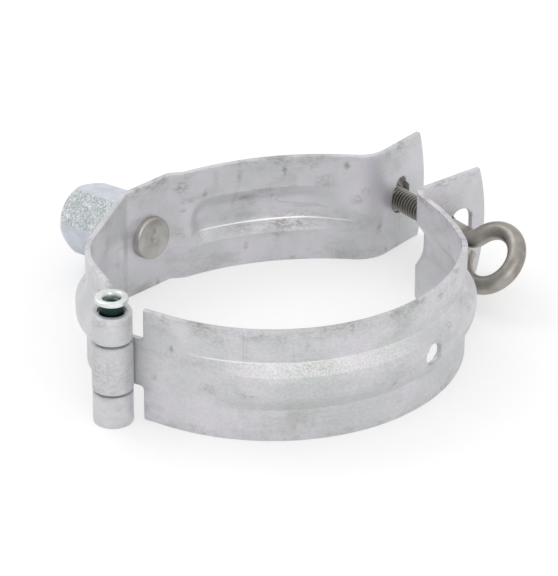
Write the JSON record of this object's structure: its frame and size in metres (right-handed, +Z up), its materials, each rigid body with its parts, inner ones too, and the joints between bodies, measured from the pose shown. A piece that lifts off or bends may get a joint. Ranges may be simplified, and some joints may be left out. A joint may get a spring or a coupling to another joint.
{
  "type": "hinged pipe clamp",
  "caption": "Hinged two-half pressed steel pipe clamp with a threaded hex boss, slotted ears and an eye bolt that draws the halves together.",
  "frame": {"origin": "axis of the front half's curve, at the height of the lower strap edges", "axes": "+Z up along the clamped pipe, +X to the side of the ears, +Y to the half that carries the boss"},
  "size_m": [0.1198, 0.1124, 0.0338],
  "materials": {
    "galvanised_sheet": "matt hot-dip zinc with grey stains",
    "bright_zinc": "bright zinc plate",
    "zinc_plate": "bluish zinc plate, scratched",
    "nickel_plate": "warm grey nickel plate",
    "stainless_wire": "warm grey stainless steel"
  },
  "bodies": {
    "rear_half": {"rear_band": "galvanised_sheet", "hinge_pin": "bright_zinc", "threaded_boss": "zinc_plate", "boss_rivet": "nickel_plate"},
    "front_half": {"front_band": "galvanised_sheet"},
    "bolt": {"eye_bolt": "stainless_wire"},
    "nut": {"clamp_nut": "zinc_plate"}
  },
  "joints": [
    {"name": "front_half_hinge", "type": "hinge", "parent": "rear_half", "child": "front_half", "pos_m": [-0.03764, -0.03858, 0.015], "axis": [0, 0, 1], "range_deg": [0, 8.5]},
    {"name": "eye_bolt_slide", "type": "slide", "parent": "rear_half", "child": "bolt", "axis": [-0.6281, 0.7782, 0], "range_m": [0, 0.0166]},
    {"name": "nut_turn", "type": "hinge", "parent": "rear_half", "child": "nut", "pos_m": [0.03019, 0.05586, 0.0138], "axis": [0.6281, -0.7782, 0], "continuous": true}
  ],
  "couplings": [
    {"joint": "eye_bolt_slide", "follows": "front_half_hinge", "m_per_rad": 0.1117}
  ]
}
